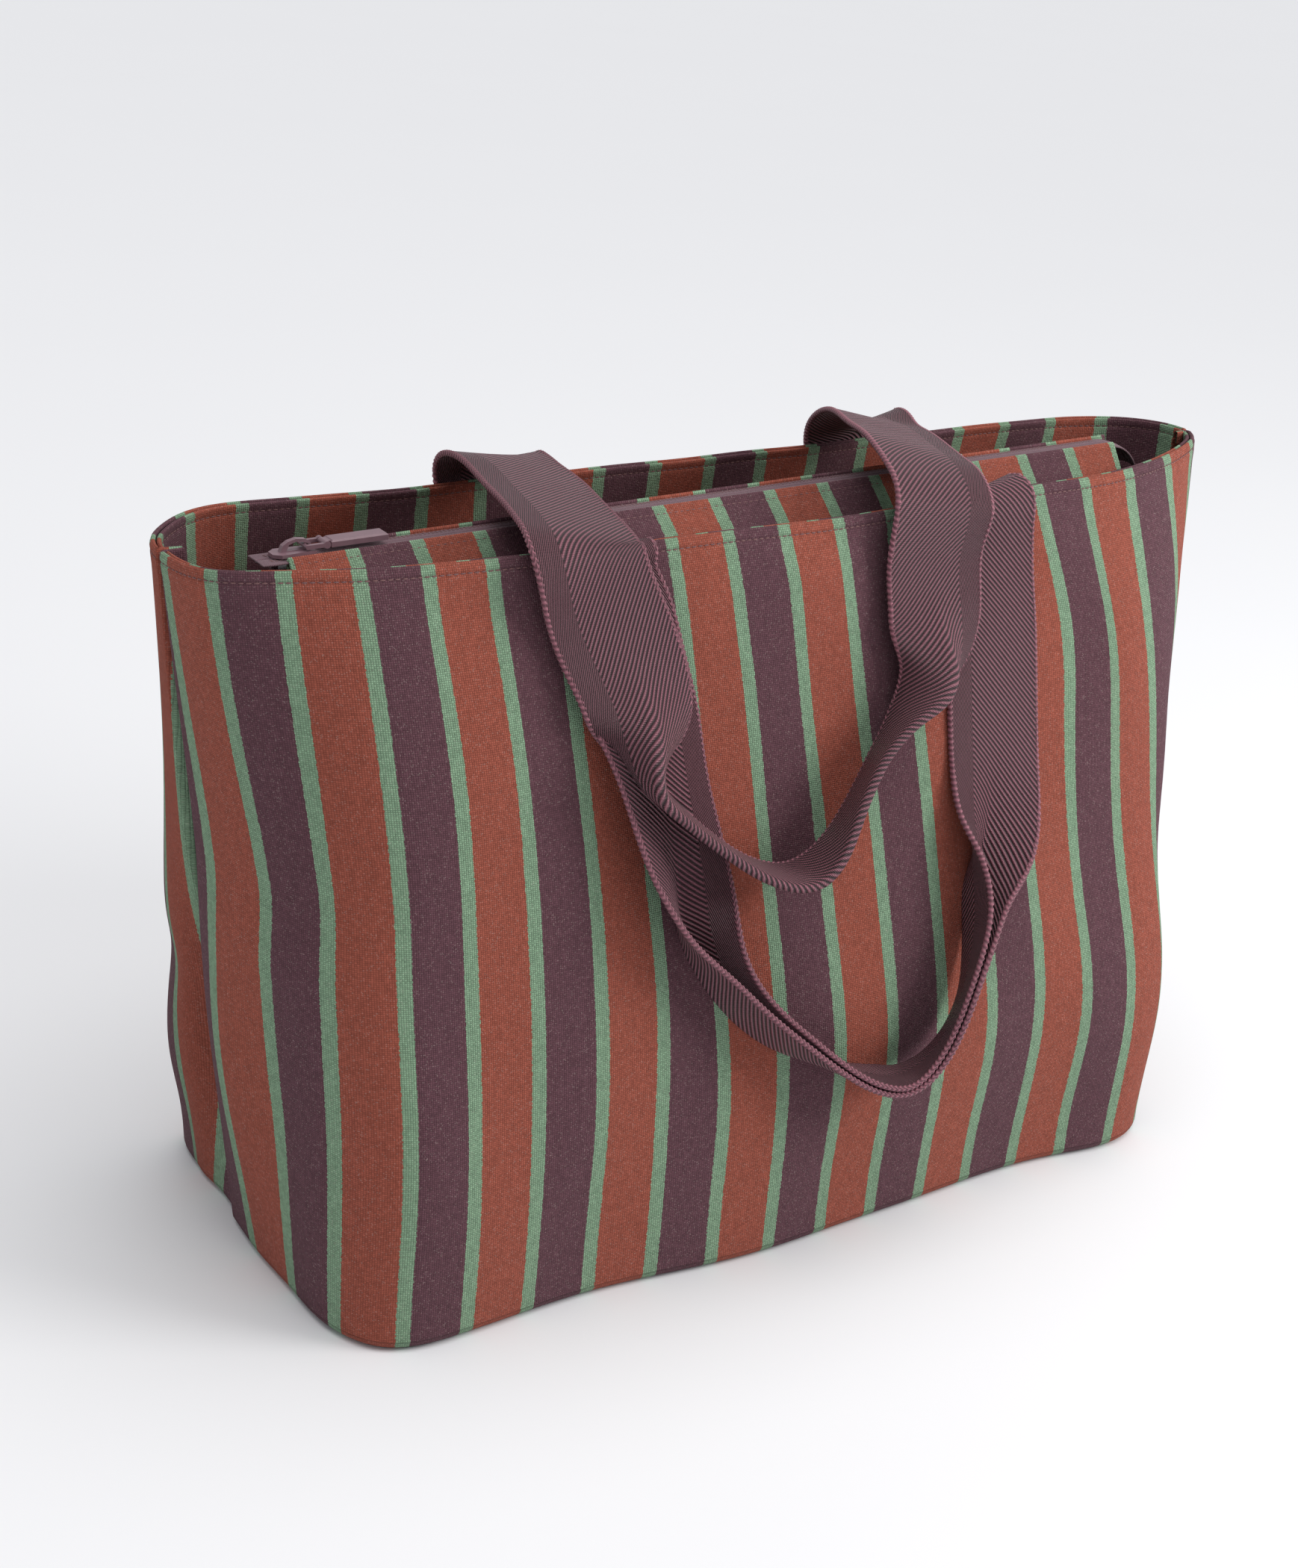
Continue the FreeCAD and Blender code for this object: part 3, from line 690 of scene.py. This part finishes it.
def facing_panel(name, point, seams, canvas, scale, offset):
    """Canvas facing inside the rim, its own folded edge beside the shell's.

    scale and offset carry the shell's stripe numbers over to the facing's own cut.
    """
    drops = np.array([64, 56, 48, 40, 34, 28, 22, 16, 11, 8, 5.5, 4.5, 3.9, 3.4, 2.9, 2.0, 1.1, 0.4])
    heights = (rim_top - drops) / rim_top
    n, outer = panel_grid(point, seams, heights, inset=facing_inset, seam_round=2.0, tuck=1.0)
    to_inside = inward(outer)
    wave = 0.5 * np.sin(n * 3.1 + heights[:, None] * 30)
    inner = outer + to_inside * (2 * edge_radius)
    dent = 0.45 * gauss(drops, hem_stitch_drop, 0.6)
    inner = inner - to_inside * dent[:, None, None]
    lower = ramp(drops, 5, 40)[:, None] * (0.8 + wave)
    inner = inner + to_inside * lower[..., None]
    outer = outer + to_inside * lower[..., None]
    fold = rim_fold(outer[-1], to_inside[-1], (30, 60, 90, 120, 150))
    points = np.concatenate([outer, fold, inner[::-1]])
    v = np.concatenate([-drops, np.linspace(0.5, 2.5, 5), 3 + drops[::-1]])
    u = np.concatenate([n, np.repeat(n[-1:], 5, 0), n[::-1]]) * scale + offset
    uv = np.stack([u * stripe_repeat, np.repeat(v[:, None], n.shape[1], 1)], -1)
    return outward(grid_piece(name, points, uv, canvas))


def rim_line(point, seams, drop, inset):
    """A line round one panel a given drop below the rim, pushed inside by inset."""
    t = np.full(400, (rim_top - drop) / rim_top)
    n = np.linspace(seams[0][1] + 0.06, seams[1][1] - 0.06, 400)
    row = point(n, t)[None]
    return (row + inward(row) * inset)[0]


lining_left = -198.0       # the lining keeps to the right of this, behind the valley beside the left seam
valley_top = 200.0


def lining_piece(material):
    """Dark bag inside the shell, from the facing's lower edge to the floor."""
    rows = []
    upper = [(276, 2.2), (264, 2.2), (254, 3.5), (240, 4.5), (210, 4.5)]
    middle = [(z, 5.0) for z in range(180, 30, -15)]
    for z, inset in upper + middle + [(20, 6), (8, 9), (5.5, 20)]:
        row = body_ring(z / rim_top, 90, inset)
        if z < valley_top:
            row[:, 0] = np.maximum(row[:, 0], lining_left)
        row[:, 2] = z
        rows.append(row)
    floor_row = rows[-1]
    for scale in (0.7, 0.35, 0.02):
        rows.append(floor_row * [scale, scale, 1])
    points = np.array(rows)
    uv = np.stack([np.repeat(np.arange(points.shape[1])[None] * 6.7, len(points), 0), points[..., 2]], -1)
    return outward(grid_piece("lining_bag", points, uv, material, wrap=True))


# ---- zip closure ----------------------------------------------------------------------
zip_y = -6.0
zip_left_x = -219.0
zip_left_z = 318.5
zip_rise = math.tan(math.radians(1.635))


def zip_z(x):
    return zip_left_z + (np.asarray(x, float) - zip_left_x) * zip_rise


flap_thickness = 1.5
flap_repeat = 57.6         # the flaps' stripes are cut a little closer than the shell's
flap_stripe_x = -194.0     # middle of a green stripe
flap_root_z = 284.0        # height at which the flaps' roots follow the panels
# for each side: its panel, x of some stripes and their numbers, lowest height, how it rises to the zip
flap_roots = {
    -1: (front_point, [-256, -206, -152, -97, -43, 14, 73, 133, 196, 234],
         [-1, 0, 1, 2, 3, 4, 5, 6, 7, 7.5], 284.0, 0.92),
    1: (back_point, [-239, -210, -152, -30, 92, 184, 245], [1.5, 2.0, 3.0, 5.0, 7.0, 8.5, 9.5], 266.0, 2.2)}


def flap_piece(name, side, x0, x1, canvas):
    """Striped flap from inside the rim up to its folded edge beside the zip."""
    columns = 130
    xs = np.linspace(x0, x1, columns)
    edge_y = zip_y + side * 5.2
    point, stripe_xs, stripes, root_z, rise = flap_roots[side]
    root = point(np.interp(xs, stripe_xs, stripes), np.full(columns, flap_root_z / rim_top))
    root_y = root[:, 1] - side * 7.0
    wave = 0.7 * np.sin(xs / 23.0 + side) + 0.4 * np.sin(xs / 9.7)
    rows = []
    for s in (0.0, 0.15, 0.3, 0.45, 0.58, 0.7, 0.78, 0.84, 0.88, 0.91, 0.94, 0.97, 1.0):
        y = root_y + (edge_y + side * 1.2 - root_y) * s
        z = root_z + (zip_z(xs) + 0.6 - root_z) * s ** rise
        y = y + side * wave * math.sin(math.pi * s)
        dent = -0.35 * gauss(s, 0.925, 0.018)
        rows.append(np.stack([xs, y, z + dent], -1))
    last = rows[-1]
    for dy, dz in ((-0.4, 0.35), (-0.7, -0.2), (-0.9, -1.1), (-0.9, -2.4), (-0.8, -5.0)):
        rows.append(last + [0, side * dy, dz])
    points = np.array(rows)
    u = (xs - flap_stripe_x) / flap_repeat * stripe_repeat
    v = arc_lengths(points[:, 60])
    uv = np.stack([np.repeat(u[None], len(rows), 0), np.repeat(v[:, None], columns, 1)], -1)
    return outward(thick_sheet(name, points, uv, flap_thickness, canvas)), points


tape_thickness = 0.8


def tape_piece(material):
    """Both halves of the tape, meeting over the teeth; the right end curls down into the bag."""
    xs = np.concatenate([np.linspace(-232, 206, 90), np.linspace(209, 228, 12)])
    ys = np.array([-13.0, -12.2, -10, -8.0, -6.8, -6.25, -6.0, -5.75, -5.2, -4, -2, 0.2, 1.0])
    rows = []
    for x in xs:
        tail = max(x - 208, 0) / 20.0
        height = zip_z(x) - 11.0 * tail ** 2.2
        groove = -0.55 * np.exp(-((ys - zip_y) / 0.35) ** 2) - 0.10 * np.abs(ys - zip_y) ** 0.5
        curl = -1.5 * tail * ((ys - zip_y) / 7.0) ** 2
        rows.append(np.stack([np.full(len(ys), x - 2.0 * tail ** 3), ys, height + groove + curl], -1))
    points = np.array(rows)
    uv = np.stack([points[..., 0], np.repeat(ys[None], len(xs), 0)], -1)
    return outward(thick_sheet("zip_tape_skin", points, uv, tape_thickness, material))


# ---- handles --------------------------------------------------------------------------
webbing_half = 25.0              # half the width of the webbing
webbing_thickness = 2.1
selvedge_radius = 1.25
fold_radius = 1.0                # how tightly a grip is folded
fold_gap = 0.16                  # between its two layers


def face_y(x, z):
    """Y of the front panel's outside at x, z."""
    n = np.interp(x, [-233, -206, -152, -97, -43, 14, 73, 133, 196], [-0.5, 0, 1, 2, 3, 4, 5, 6, 7])
    for _ in range(6):
        t = z / rim_top
        p = front_point(n, t)
        n = n + (x - p[0]) / stripe_repeat
    return float(front_point(n, z / rim_top)[1])


def on_face(x, z, off):
    """A point that stands a given distance in front of the front panel."""
    return (x, face_y(x, z) - off, z)


def strap_surface(stations, step=2.5):
    """Grid of a webbing strap's middle surface.

    Each station is (point between the strap's two edges, direction the edges lie in from the
    fold, opening half-angle in degrees: 90 flat, near 0 folded shut).
    """
    stations = [(np.array(q, float), unit(np.array(d, float)), a) for q, d, a in stations]
    places = np.array([q for q, _, _ in stations])
    at = arc_lengths(places)
    rows = [(s, *q, *d, a) for s, (q, d, a) in zip(at, stations)]
    path, turn, opening = (cubic([(r[0], *r[i:j]) for r in rows]) for i, j in ((1, 4), (4, 7), (7, 8)))
    s = np.arange(0, at[-1] + step / 2, step)
    q = path(s)
    tangent = unit(np.gradient(q, axis=0))
    d = turn(s)
    d = unit(d - (d * tangent).sum(-1, keepdims=True) * tangent)
    side = np.cross(d, tangent)
    angle = np.radians(np.clip(opening(s)[:, 0], 1, 90))
    half = np.array([1.2, 2.5, 4, 6, 9, 13, 17, 21, 24, webbing_half])
    a = np.concatenate([-half[::-1], [0.0], half])
    depth = np.sqrt(a * a + fold_radius ** 2) - fold_radius
    reach = np.sqrt(webbing_half ** 2 + fold_radius ** 2) - fold_radius
    layer = (webbing_thickness + fold_gap) / 2 * np.tanh(a / 1.4)
    along_d = np.cos(angle)[:, None] * (depth - reach)[None]
    along_side = np.sin(angle)[:, None] * a[None] + np.cos(angle)[:, None] * layer[None]
    points = q[:, None] + d[:, None] * along_d[..., None] + side[:, None] * along_side[..., None]
    uv = np.stack([np.repeat(s[:, None], len(a), 1), np.repeat(a[None], len(s), 0)], -1)
    return points, uv


def tube(name, path, radius, material, sides=8, pitch=2.6, twist=0.2):
    """A thin cord whose surface winds like rope."""
    path = np.asarray(path, float)
    tangent = unit(np.gradient(path, axis=0))
    ref = np.array([0.31, 0.17, 0.93])
    a = unit(np.cross(tangent, ref))
    b = np.cross(tangent, a)
    lengths = arc_lengths(path)
    angles = np.arange(sides) * 2 * math.pi / sides
    size = radius * (1 + twist * np.sin(2 * angles[None] + 2 * math.pi * lengths[:, None] / pitch))
    points = path[:, None] + (a[:, None] * np.cos(angles)[None, :, None]
                              + b[:, None] * np.sin(angles)[None, :, None]) * size[..., None]
    uv = np.stack([np.repeat(lengths[:, None], sides, 1), np.repeat(angles[None], len(path), 0)], -1)
    faces = grid_faces(len(path), sides, 0, wrap=True)
    faces += [tuple(range(sides))[::-1], tuple(range((len(path) - 1) * sides, len(path) * sides))]
    return outward(new_mesh(name, points, faces, uv, material))


def resampled(path, step):
    path = np.asarray(path, float)
    lengths = arc_lengths(path)
    at = np.linspace(0, lengths[-1], max(int(lengths[-1] / step), 2))
    return np.stack([np.interp(at, lengths, path[:, k]) for k in range(3)], -1)


def strap_piece(name, points, uv, webbing, cord):
    sheet = outward(thick_sheet(name + "_sheet", points, uv, webbing_thickness, webbing))
    cords = [tube(name + "_cord", resampled(points[:, k], 0.45), selvedge_radius, cord) for k in (0, -1)]
    return join(name, [sheet, *cords])


# (between the edges, direction from fold to edges, half-angle); left root to right root
back_handle = [
    ((-83, 72.5, 290), (0, -1, 0), 90), ((-83, 73.5, 305), (0, -1, 0), 90),
    ((-84, 74.5, 319), (0, -1, -0.1), 90), ((-86, 67.5, 326.5), (-0.1, -0.6, -0.8), 90),
    ((-89, 52, 331), (-0.16, -0.15, -1), 90), ((-93, 28, 332), (-0.16, 0, -1), 90),
    ((-100, 0, 332), (-0.16, 0, -1), 90), ((-106, -26, 331.5), (-0.15, 0.1, -1), 90),
    ((-111, -46, 330.5), (-0.1, 0.3, -1), 90), ((-113.5, -58, 327), (0, 0.7, -0.7), 90),
    (on_face(-110, 310, 7.5), (0, 1, -0.15), 90), (on_face(-102, 288, 8), (0, 1, 0), 88),
    (on_face(-95, 266, 9), (0, 1, 0), 74), (on_face(-94, 250, 9), (0.2, 1, 0), 40),
    (on_face(-93, 237, 8), (0.25, 1, 0), 12), (on_face(-84, 225, 6), (0.15, 1, 0.05), 3),
    (on_face(-62, 205, 4), (0.05, 1, 0.05), 1), (on_face(-41, 190, 4), (0, 1, 0), 1),
    (on_face(-20, 185, 4), (0, 1, -0.06), 1), (on_face(-2, 193, 4), (0.25, 1, -0.25), 1),
    (on_face(14, 210, 4), (0.42, 0.9, -0.34), 1), (on_face(28, 228, 4), (0.42, 0.9, -0.32), 2),
    (on_face(40, 244, 5), (0.28, 1, -0.15), 8), (on_face(51, 257, 7), (0.05, 1, 0), 30),
    (on_face(57, 270, 8), (0, 1, 0), 60), (on_face(60, 286, 9), (0, 1, 0), 86),
    (on_face(61, 308, 10), (0, 1, -0.15), 90), ((64, -64, 331), (0, 0.85, -0.5), 90),
    ((69, -49, 340.5), (-0.1, 0.4, -0.9), 90), ((77.5, -24, 343.5), (-0.22, 0.1, -1), 90),
    ((87, 0, 342), (-0.24, 0, -1), 90), ((98, 28, 340), (-0.22, 0, -1), 90),
    ((107, 52, 333.2), (-0.12, -0.35, -1), 90), ((113.5, 66, 326.5), (0, -0.8, -0.6), 90),
    ((117, 73.5, 318), (0, -1, 0), 90), ((117, 74, 305), (0, -1, 0), 90), ((117, 74, 290), (0, -1, 0), 90)]
front_handle = [
    ((-107, -50, 300), (0, 1, 0), 90), ((-107, -50.3, 309), (0, 1, 0), 90),
    ((-107, -50.6, 317), (0, 1, 0), 90), ((-107, -51.5, 323), (0, 0.8, 0.6), 90),
    ((-107, -55, 325.8), (0, 0, 1), 90), ((-106.5, -58.5, 323), (0, -0.9, 0.5), 90),
    (on_face(-105, 313, 2.6), (0, -1, 0.1), 90), (on_face(-101, 300, 3.4), (0, -1, 0), 90),
    (on_face(-94, 276, 3.8), (0.05, -1, 0), 90), (on_face(-87, 252, 6), (0.2, -1, 0), 90),
    (on_face(-82, 226, 10), (0.35, -1, 0), 84), (on_face(-76, 200, 14), (0.42, -1, 0), 70),
    (on_face(-69, 178, 18), (0.45, -1, 0.1), 44), (on_face(-59, 157, 20), (0.4, -1, 0.3), 16),
    (on_face(-42, 134, 21), (0.42, -1, 0.40), 4), (on_face(-22, 115, 22), (0.3, -1, 0.35), 2),
    (on_face(-3, 99, 23), (0.05, -1, 0.15), 1), (on_face(14, 89, 25), (0, -1, 0.0), 1),
    (on_face(28, 86.5, 26), (-0.05, -1, 0.05), 1), (on_face(41, 92, 26), (-0.3, -1, 0.25), 1),
    (on_face(53, 106, 26), (-0.5, -0.9, 0.38), 1), (on_face(64, 127, 26), (-0.5, -0.9, 0.35), 1),
    (on_face(75, 147, 25), (-0.3, -1, 0.15), 3), (on_face(83, 163, 22), (-0.1, -1, 0), 14),
    (on_face(90, 178, 16), (0, -1, 0), 46), (on_face(94, 195, 8), (0, -1, 0), 74),
    (on_face(96, 214, 4), (0, -1, 0), 88), (on_face(97, 240, 3.4), (0, -1, 0), 90),
    (on_face(98, 270, 3.4), (0, -1, 0), 90), (on_face(98, 298, 3.4), (0, -1, 0), 90),
    ((97, -57.6, 315), (0, -1, 0.1), 90), ((95.5, -56.3, 327), (0, -0.9, 0.5), 90),
    ((93.5, -51.5, 331.5), (0, 0, 1), 90), ((92, -47, 329), (0, 0.8, 0.6), 90),
    ((92, -44.8, 322), (0, 1, 0), 90), ((92, -44.6, 308), (0, 1, 0), 90), ((92, -44.4, 292), (0, 1, 0), 90)]


def handles(webbing, cord):
    """Both straps. The back one is cut where it crosses the middle, between its two hinges."""
    points, uv = strap_surface(front_handle)
    front = strap_piece("front_handle_strap", points, uv, webbing, cord)
    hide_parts("front_handle_loop", "front_handle_end_left", "front_handle_end_right")
    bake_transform(front)

    points, uv = strap_surface(back_handle)
    mid = points[:, 10]
    over = [i for i in range(len(mid) - 1) if (mid[i, 1] > 0) != (mid[i + 1, 1] > 0)]
    first, last = over[0] + 1, over[-1] + 1
    rears = [strap_piece("rear", points[a:b], uv[a:b], webbing, cord)
             for a, b in ((0, first + 1), (last, len(mid)))]
    rear = join("back_handle_rear_straps", rears)
    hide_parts("back_handle_span_left", "back_handle_span_right",
                "back_handle_end_left", "back_handle_end_right")
    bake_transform(rear)
    fore = strap_piece("back_handle_strap", points[first:last + 1], uv[first:last + 1], webbing, cord)
    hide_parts("back_handle_loop")
    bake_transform(fore)


def bag(canvas, thread):
    """Shell, base and facings with the rim's topstitching."""
    pieces = []
    front = shell_panel("front_shell", front_point, front_seams, canvas)
    back = shell_panel("back_shell", back_point, back_seams, canvas)
    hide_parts("front_panel")
    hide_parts("back_panel")
    base = base_piece(canvas)
    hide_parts("base_panel")
    facing_back = facing_panel("back_rim_facing", back_point, back_seams, canvas, 1.009, -0.067)
    facing_front = facing_panel("front_rim_facing", front_point, front_seams, canvas, -1.0, 0.3)
    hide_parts("back_facing")
    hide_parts("front_facing")
    lines = []
    facing_face = facing_inset + 2 * edge_radius - 0.4
    for point, seams, sign in ((front_point, front_seams, -1), (back_point, back_seams, 1)):
        lines.append((rim_line(point, seams, hem_stitch_drop, 0.35), (0, sign, 0.1)))
        lines.append((rim_line(point, seams, hem_stitch_drop, facing_face), (0, -sign, 0.1)))
    seam_thread = stitches("rim_topstitch", lines, thread)
    for piece in (front, back, base, facing_back, facing_front):
        pieces.append(piece)
    pieces.append(seam_thread)
    return pieces


def zip_closure(canvas, tape, thread):
    """Flaps and tape with their stitching."""
    front, front_rows = flap_piece("front_flap", -1, -221, 209, canvas)
    back, back_rows = flap_piece("back_flap", 1, -214, 214, canvas)
    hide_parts("front_zip_flap")
    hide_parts("back_zip_flap")
    skin = tape_piece(tape)
    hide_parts("front_zip_tape", "back_zip_tape")
    lines = [(rows[10] + [0, 0, 0.75], (0, s * 0.6, 1)) for rows, s in ((front_rows, -1), (back_rows, 1))]
    for dy in (-4.0, -2.6, 2.6, 4.0):
        xs = np.linspace(-228, 205, 200)
        lines.append((np.stack([xs, np.full(200, zip_y + dy), zip_z(xs) + 0.25], -1), (0, 0, 1)))
    flap_thread = stitches("closure_topstitch", lines[:2], thread)
    tape_thread = stitches("tape_stitching", lines[2:], thread, pitch=1.9, length=1.3, radius=0.2)
    return [front, back, skin, flap_thread, tape_thread]


floor_half = 30000.0


def main():
    make_camera()
    make_light()
    corners = [(x * floor_half, y * floor_half, 0) for x, y in ((-1, -1), (1, -1), (1, 1), (-1, 1))]
    floor = new_mesh("floor", corners, [(0, 1, 2, 3)], None, floor_material())

    canvas = canvas_material("striped_canvas")
    webbing = webbing_material()
    cord = cord_material("selvedge", tuple(c * 1.35 for c in mauve), 2.6)
    # the thread's colour is set darker than the canvas it sews, which paints in the shade along the stitch
    # lines
    thread = thread_material("thread", (0.20, 0.10, 0.10))
    tape = tape_material()
    lining_cloth = canvas_material("lining_cloth", stripes=False, tint=(0.030, 0.020, 0.024))
    paint = metal_material("mauve_paint", (0.205, 0.118, 0.142))
    coil = cord_material("coil_nylon", (0.12, 0.06, 0.075), 1.2)

    pieces = bag(canvas, thread)
    inside = lining_piece(lining_cloth)
    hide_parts("lining")
    pieces.append(inside)
    pieces += zip_closure(canvas, tape, thread)
    for piece in pieces:
        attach(piece, "bag")

    finishes = {"slider_body": paint, "pull_link": paint, "link_pin": paint, "pull_tab": paint,
                "front_zip_coil": coil, "back_zip_coil": coil, "zip_end_stop": paint,
                "base_board": board_material()}
    for node, material in finishes.items():
        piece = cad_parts[node]
        piece.data.materials.clear()
        piece.data.materials.append(material)
        if node in ("slider_body", "pull_link", "pull_tab"):
            bevel = piece.modifiers.new("soft_edges", "BEVEL")
            bevel.width, bevel.segments = 0.35 * MM, 3
            bevel.limit_method, bevel.angle_limit = "ANGLE", math.radians(35)

    handles(webbing, cord)


main()
